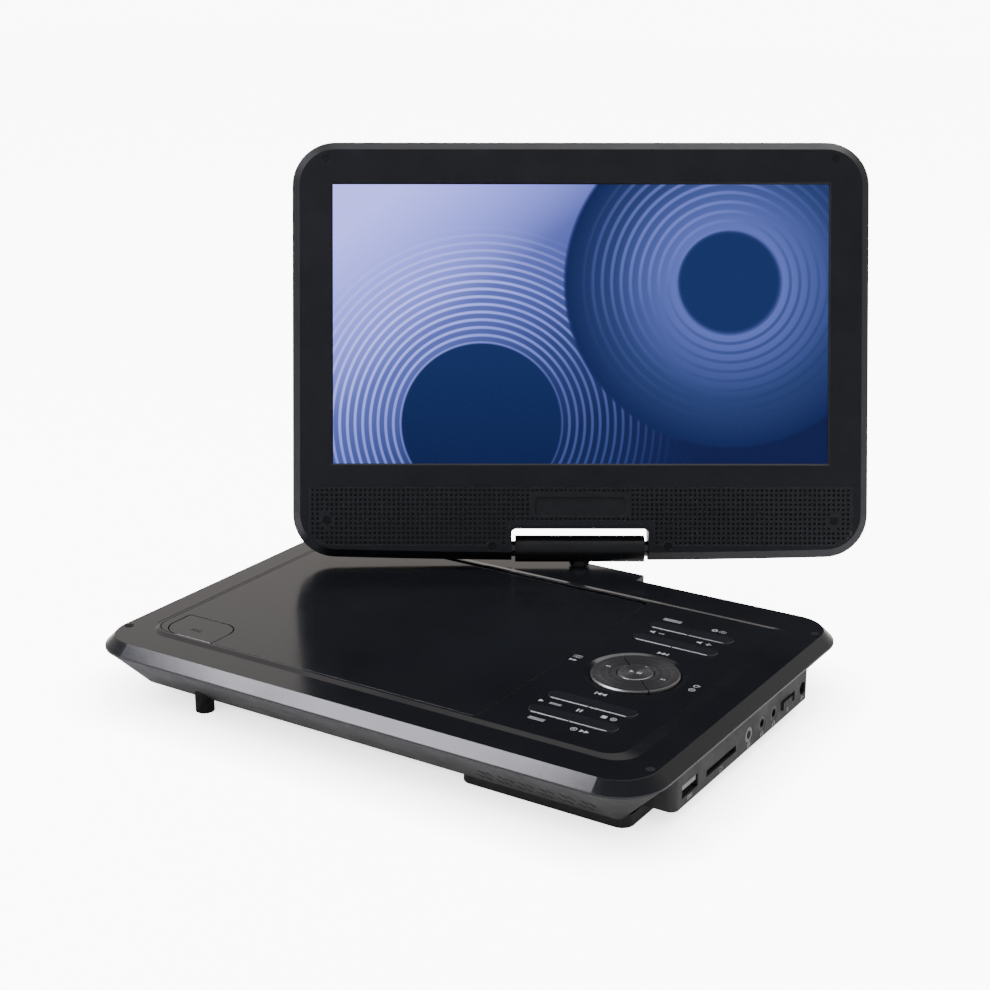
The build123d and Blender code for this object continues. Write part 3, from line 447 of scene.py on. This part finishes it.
# ---------------------------------------------------------------- mesh helpers
def mesh_object(name, bm, look, body):
    mesh = bpy.data.meshes.new(name)
    bm.to_mesh(mesh)
    bm.free()
    obj = bpy.data.objects.new(name, mesh)
    bpy.context.scene.collection.objects.link(obj)
    mesh.materials.append(look)
    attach(obj, body)
    return obj


def add_prism(bm, outline, z0, z1, place):
    """A prism over a flat outline; place turns (x, y, z) in millimetres into the row frame."""
    low = [bm.verts.new(place(x, y, z0)) for x, y in outline]
    high = [bm.verts.new(place(x, y, z1)) for x, y in outline]
    bm.faces.new(list(reversed(low)))
    bm.faces.new(high)
    count = len(outline)
    for i in range(count):
        j = (i + 1) % count
        bm.faces.new((low[i], low[j], high[j], high[i]))


def on_base(x, y, z):
    return row(x, y, z)


def on_screen(x, y, z):
    """Screen frame: x right, y up the screen, z out of its face."""
    return SCREEN_MATRIX @ (Vector((x, FACE_Y - z, y)) * MM)


def on_wall(x, y, z):
    """Socket wall seen from the right: x towards the rear, y up, z out of the wall."""
    return row(PORT_X + z, x, y)


# ---------------------------------------------------------------- speaker grille with real holes
GRILLE_PITCH, GRILLE_HOLE, GRILLE_TOP = 2.15, 1.28, 26.62
GRILLE_ROWS, GRILLE_COLUMNS = 12, 58               # columns to each side of the middle one
GRILLE_HALF = 122.6                                # half width of the field
NOTCH_X, NOTCH_V = 33.1, 11.4                      # hinge notch in the bezel's lower edge
STRIP_X, STRIP_V, STRIP_HALF = 20.5, 19.3, 4.3     # blank strip in the middle
CORNER_X, CORNER_V, CORNER_R = 110.25, 15.9, 14.9  # the bezel's rounded lower corners
PLUG_R = 2.6
PLUG_SPOTS = [(sx * 114.0, 12.8) for sx in (-1, 1)] + [(sx * 39.5, 1.2) for sx in (-1, 1)]


def hole_fits(x, v):
    """Keeps the holes off the field's ends, the notch, the strip, the plugs and the corners."""
    half = GRILLE_HOLE / 2
    near = half + 0.55
    reach = half * 1.3
    if abs(x) > GRILLE_HALF - near:
        return False
    if abs(x) < NOTCH_X + near and v < NOTCH_V + near:
        return False
    if abs(x) < STRIP_X + near and abs(v - STRIP_V) < STRIP_HALF + near:
        return False
    if any(math.hypot(x - px, v - pv) < PLUG_R + reach + 0.3 for px, pv in PLUG_SPOTS):
        return False
    corner = math.hypot(max(abs(x) - CORNER_X, 0), max(CORNER_V - v, 0))
    return corner < CORNER_R - reach - 0.4 or abs(x) < CORNER_X


def grille():
    bm = bmesh.new()
    bm.from_mesh(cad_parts["speaker_grille"].data)
    bmesh.ops.remove_doubles(bm, verts=bm.verts, dist=1e-6)
    plate = mesh_object("grille_plate", bm, satin(
        "grille_look", (0.011, 0.0122, 0.0145), (0.36, 0.5), spec=0.4, edge=0.00015),
        "screen")
    cutter = bmesh.new()
    half = GRILLE_HOLE / 2
    cut = 0.3 * half
    for r in range(GRILLE_ROWS):
        v = GRILLE_TOP - r * GRILLE_PITCH
        for c in range(-GRILLE_COLUMNS, GRILLE_COLUMNS + 1):
            x = c * GRILLE_PITCH
            if not hole_fits(x, v):
                continue
            outline = [(x - half + cut, v - half), (x + half - cut, v - half),
                       (x + half, v - half + cut), (x + half, v + half - cut),
                       (x + half - cut, v + half), (x - half + cut, v + half),
                       (x - half, v + half - cut), (x - half, v - half + cut)]
            add_prism(cutter, outline, -2.0, 1.0, on_screen)
    mesh = bpy.data.meshes.new("grille_cutter")
    bmesh.ops.recalc_face_normals(cutter, faces=cutter.faces)
    cutter.to_mesh(mesh)
    cutter.free()
    tool = bpy.data.objects.new("grille_cutter", mesh)
    bpy.context.scene.collection.objects.link(tool)
    modifier = plate.modifiers.new("holes", "BOOLEAN")
    modifier.operation = "DIFFERENCE"
    modifier.solver = "MANIFOLD"
    modifier.object = tool
    bpy.context.view_layer.update()
    graph = bpy.context.evaluated_depsgraph_get()
    result = bpy.data.meshes.new_from_object(plate.evaluated_get(graph))
    plate.modifiers.clear()
    plate.data = result
    bpy.data.objects.remove(tool)
    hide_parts("speaker_grille")


grille()


# ---------------------------------------------------------------- printed marks
def disc(x, y, r, count=20):
    return [(x + r * math.cos(2 * math.pi * k / count), y + r * math.sin(2 * math.pi * k / count))
            for k in range(count)]


def rect(x0, y0, x1, y1):
    return [(x0, y0), (x1, y0), (x1, y1), (x0, y1)]


def right(x, s=1.0):
    """A triangle that points right, from x."""
    return [(x, -s), (x + 1.7 * s, 0), (x, s)]


def left(x, s=1.0):
    return [(x, 0), (x + 1.7 * s, -s), (x + 1.7 * s, s)]


def ring(x, y, r, w, a0=0.0, a1=360.0, count=24):
    """Short quads round an arc."""
    quads = []
    for k in range(count):
        a, b = (math.radians(a0 + (a1 - a0) * (k + e) / count) for e in (0, 1))
        quads.append([(x + r * math.cos(a), y + r * math.sin(a)),
                      (x + (r + w) * math.cos(a), y + (r + w) * math.sin(a)),
                      (x + (r + w) * math.cos(b), y + (r + w) * math.sin(b)),
                      (x + r * math.cos(b), y + r * math.sin(b))])
    return quads


SPEAKER = [(-2.4, -0.4), (-1.7, -0.4), (-0.9, -1.0), (-0.9, 1.0), (-1.7, 0.4), (-2.4, 0.4)]
ICONS = {
    "menu": [rect(-3.6, y - h, 3.6, y + h)
             for y, h in ((0.785, 0.165), (0.0, 0.16), (-0.785, 0.165))],
    "gear": ring(0, 0, 0.5, 0.4) + [
        [(1.25 * math.cos(a - 0.2), 1.25 * math.sin(a - 0.2)),
         (1.25 * math.cos(a + 0.2), 1.25 * math.sin(a + 0.2)),
         (0.8 * math.cos(a + 0.3), 0.8 * math.sin(a + 0.3)),
         (0.8 * math.cos(a - 0.3), 0.8 * math.sin(a - 0.3))]
        for a in (math.radians(45 * k) for k in range(8))],
    "quiet": [SPEAKER, rect(0.5, -0.17, 2.3, 0.17)],
    "loud": [SPEAKER, rect(0.5, -0.17, 2.3, 0.17), rect(1.23, -0.9, 1.57, 0.9)],
    "previous": [rect(-4.0, -1.0, -3.6, 1.0), left(-3.4), left(-1.6)],
    "next": [right(0.0), right(1.8), rect(3.6, -1.0, 4.0, 1.0)],
    "back": [left(-1.8), left(0.0)],
    "forward": [right(-1.8), right(0.0)],
    "play": [right(-0.9)],
    "pause": [rect(-0.9, -1.0, -0.3, 1.0), rect(0.3, -1.0, 0.9, 1.0)],
    "stop": [rect(-1.0, -1.0, 1.0, 1.0)],
    "loop": ring(0, 0, 0.75, 0.3, 30, 330) + [[(0.35, 0.55), (1.45, 0.55), (0.9, -0.2)]],
    "disc": ring(0, 0, 0.95, 0.28) + ring(0, 0, 0.25, 0.2),
    "phones": ring(0, -0.2, 0.9, 0.25, 0, 180) + [rect(-1.25, -1.1, -0.6, -0.2),
                                                 rect(0.6, -1.1, 1.25, -0.2)],
    "card": [rect(-1.2, -1.0, 1.2, -0.8), rect(-1.2, 0.8, 0.8, 1.0), rect(-1.2, -0.8, -1.0, 0.8),
             rect(1.0, -0.8, 1.2, 0.5)],
    "port": [rect(-1.6, -0.5, -1.4, 0.5), rect(1.4, -0.5, 1.6, 0.5), rect(-1.4, -0.5, 1.4, -0.32),
             rect(-1.4, 0.32, 1.4, 0.5), rect(-0.9, -0.1, 0.9, 0.12)],
    "power": ring(0, 0, 0.7, 0.22, 120, 420) + [rect(-0.12, 0.2, 0.12, 1.15)],
    "dc": ring(0, 0, 0.75, 0.22, 30, 330) + [disc(0, 0, 0.3, 12), rect(0.3, -0.1, 1.8, 0.1)],
    "picture": ring(0, 0, 0.6, 0.2) + [rect(-1.6, -1.05, 1.6, -0.9), rect(-1.6, 0.9, 1.6, 1.05),
                                       rect(-1.6, -0.9, -1.45, 0.9), rect(1.45, -0.9, 1.6, 0.9)],
}


def marks(name, spots, place, z0, z1, look, body, slot):
    """Icons as thin prints: (icon, x, y, size)."""
    bm = bmesh.new()
    for icon, x, y, size in spots:
        for outline in ICONS[icon]:
            add_prism(bm, [(x + size * a, y + size * b) for a, b in outline], z0, z1, place)
    bmesh.ops.recalc_face_normals(bm, faces=bm.faces)
    return mesh_object(name, bm, look, body)


def print_look(name, color):
    """Pad-printed ink: slightly uneven cover."""
    look = Look(name, color, 0.55, spec=0.4)
    look.tint(look.noise(1800, 4, 0.7), shade(color, 0.7), color)
    look.roughen(look.noise(900, 2), 0.45, 0.65)
    look.bump(look.noise(5000, 2), 0.000006)
    return look.done()


ink = print_look("ink_look", (0.5, 0.5, 0.52))
PRINT = 0.03                                       # how far the ink stands up
marks("panel_marks", [(icon, PAD[0] + dx, PAD[1] + dy, size) for icon, dx, dy, size in (
    ("menu", -12.6, 56.4, 1.15), ("gear", 7.0, 56.4, 1.15), ("picture", 10.6, 56.4, 0.9),
    ("quiet", -12.0, 41.4, 1.35), ("loud", 9.4, 41.4, 1.35),
    ("next", -2.2, 23.2, 1.15), ("previous", 0.2, -24.0, 1.15),
    ("picture", -27.4, 2.6, 1.1), ("forward", -27.4, -1.2, 0.95),
    ("loop", 25.6, 1.9, 1.15), ("disc", 25.6, -2.0, 1.1),
    ("play", -18.0, -41.2, 1.2), ("menu", -12.0, -41.2, 0.7), ("pause", -1.5, -41.2, 1.2),
    ("stop", 9.0, -41.2, 1.1), ("disc", 13.0, -41.2, 1.05),
    ("menu", -11.4, -56.0, 0.95), ("disc", 4.6, -56.0, 1.1), ("forward", 9.2, -56.0, 1.1),
)], on_base, PANEL_Z, PANEL_Z + PRINT, ink, "base", "upper_case")
marks("wall_marks", [
    ("port", -50.0, 8.0, 1.2), ("card", -24.0, 7.7, 0.95), ("disc", 0.0, 7.7, 1.0),
    ("phones", 12.0, 7.8, 1.0), ("phones", 23.0, 7.8, 1.0), ("power", 36.4, 8.4, 1.0),
    ("dc", 50.6, 7.8, 1.0),
], on_wall, 0.0, PRINT, ink, "base", "lower_case")

PAD_TOP = PANEL_Z + 0.35
for body, spot in (("pad_left", ("back", PAD[0] - 12.3, PAD[1])),
                   ("pad_right", ("forward", PAD[0] + 12.3, PAD[1]))):
    marks(body + "_mark", [(*spot, 0.62)], on_base, PAD_TOP, PAD_TOP + PRINT, ink, body, body)
CENTRE_TOP = PANEL_Z + 0.6
marks("pad_centre_mark",
      [("play", PAD[0] - 1.6, PAD[1], 0.9), ("pause", PAD[0] + 1.7, PAD[1], 0.9)],
      on_base, CENTRE_TOP, CENTRE_TOP + PRINT, ink, "pad_centre", "pad_centre")


def button_mark():
    """The raised open-lid arrow on the door button."""
    x, y = -94.6, -61.2
    top = PANEL_Z + 0.12
    bm = bmesh.new()
    arrow = [(x - 2.6, y - 1.2), (x + 2.6, y - 1.2), (x, y + 2.2)]
    bar = rect(x - 2.6, y - 2.4, x + 2.6, y - 1.8)
    for outline in (arrow, bar):
        add_prism(bm, outline, PANEL_Z, top, on_base)
    bmesh.ops.recalc_face_normals(bm, faces=bm.faces)
    mesh_object("door_button_mark", bm, looks["door_button"], "door_button")


button_mark()


# ---------------------------------------------------------------- floor, light, camera
BACKDROP = 9.0                                     # glow of the backdrop, seen directly


def studio():
    bpy.ops.mesh.primitive_plane_add(size=6.0, location=(0, 0, 0))
    floor = bpy.context.object
    floor.name = "floor"
    look = Look("floor_look", (0.9, 0.9, 0.9), 0.6, spec=0.2)
    look.tint(look.noise(3, 2), (0.88, 0.88, 0.88), (0.91, 0.91, 0.91))
    look.bsdf.inputs["Emission Color"].default_value = (1, 1, 1, 1)
    # Painted contact shadow: ambient occlusion within 3 cm darkens the floor's glow for camera
    # rays, near and under the player.
    near = look.tree.nodes.new("ShaderNodeAmbientOcclusion")
    near.samples = 8
    near.inputs["Distance"].default_value = 0.03
    painted_contact_shadow = look.ramp(near.outputs["AO"], ((0.0, 0.12), (0.75, 0.72), (1.0, 1.0)))
    direct = look.tree.nodes.new("ShaderNodeLightPath").outputs["Is Camera Ray"]
    camera_glow_with_painted_shadow = look.math("MULTIPLY", look.math("MULTIPLY", direct, painted_contact_shadow), BACKDROP)
    look.link(look.math("ADD", camera_glow_with_painted_shadow, 0.35), look.bsdf.inputs["Emission Strength"])
    floor.data.materials.append(look.done())

    world = bpy.data.worlds.new("studio")
    bpy.context.scene.world = world
    world.use_nodes = True
    tree = world.node_tree
    background = tree.nodes["Background"]
    background.inputs["Color"].default_value = (1.0, 1.0, 1.0, 1.0)
    background.inputs["Strength"].default_value = BACKDROP + 1.0
    softer = tree.nodes.new("ShaderNodeBackground")
    coord = tree.nodes.new("ShaderNodeTexCoord")
    dot = tree.nodes.new("ShaderNodeVectorMath")
    dot.operation = "DOT_PRODUCT"
    dot.inputs[1].default_value = (-0.52, 0.82, 0.22)
    ramp = tree.nodes.new("ShaderNodeValToRGB")
    ramp.color_ramp.elements[0].position = 0.0
    ramp.color_ramp.elements[0].color = (0.30, 0.30, 0.32, 1)
    ramp.color_ramp.elements[1].position = 0.9
    ramp.color_ramp.elements[1].color = (0.86, 0.80, 0.76, 1)
    tree.links.new(coord.outputs["Generated"], dot.inputs[0])
    tree.links.new(dot.outputs["Value"], ramp.inputs["Fac"])
    tree.links.new(ramp.outputs["Color"], softer.inputs["Color"])
    rays = tree.nodes.new("ShaderNodeLightPath")
    mix = tree.nodes.new("ShaderNodeMixShader")
    tree.links.new(rays.outputs["Is Camera Ray"], mix.inputs["Fac"])
    tree.links.new(softer.outputs[0], mix.inputs[1])
    tree.links.new(background.outputs[0], mix.inputs[2])
    tree.links.new(mix.outputs[0], tree.nodes["World Output"].inputs["Surface"])

    def area(name, location, target, size, power, color=(1, 1, 1)):
        data = bpy.data.lights.new(name, "AREA")
        data.shape = "RECTANGLE"
        data.size, data.size_y = size
        data.energy = power
        data.color = color
        lamp = bpy.data.objects.new(name, data)
        lamp.location = location
        aim = Vector(target) - Vector(location)
        lamp.rotation_euler = aim.to_track_quat("-Z", "Y").to_euler()
        bpy.context.scene.collection.objects.link(lamp)

    area("softbox", (-0.66, -0.55, 1.0), (-0.05, -0.12, 0.02), (0.52, 0.5), 15.5,
         (0.92, 0.91, 1.0))
    area("top_light", (0.3, 0.6, 1.6), (0, 0, 0), (1.4, 1.4), 18)


studio()

CAMERA_PLACE = (0.38964, -0.64353, 0.31841)
CAMERA_TILT, CAMERA_YAW = 71.691, 32.488           # degrees
camera_data = bpy.data.cameras.new("camera")
camera_data.sensor_width = 36.0
camera_data.lens = 66.30
camera_data.clip_start = 0.01
camera = bpy.data.objects.new("camera", camera_data)
camera.location = CAMERA_PLACE
camera.rotation_euler = (math.radians(CAMERA_TILT), 0.0, math.radians(CAMERA_YAW))
bpy.context.scene.collection.objects.link(camera)
bpy.context.scene.camera = camera

bpy.context.view_layer.update()
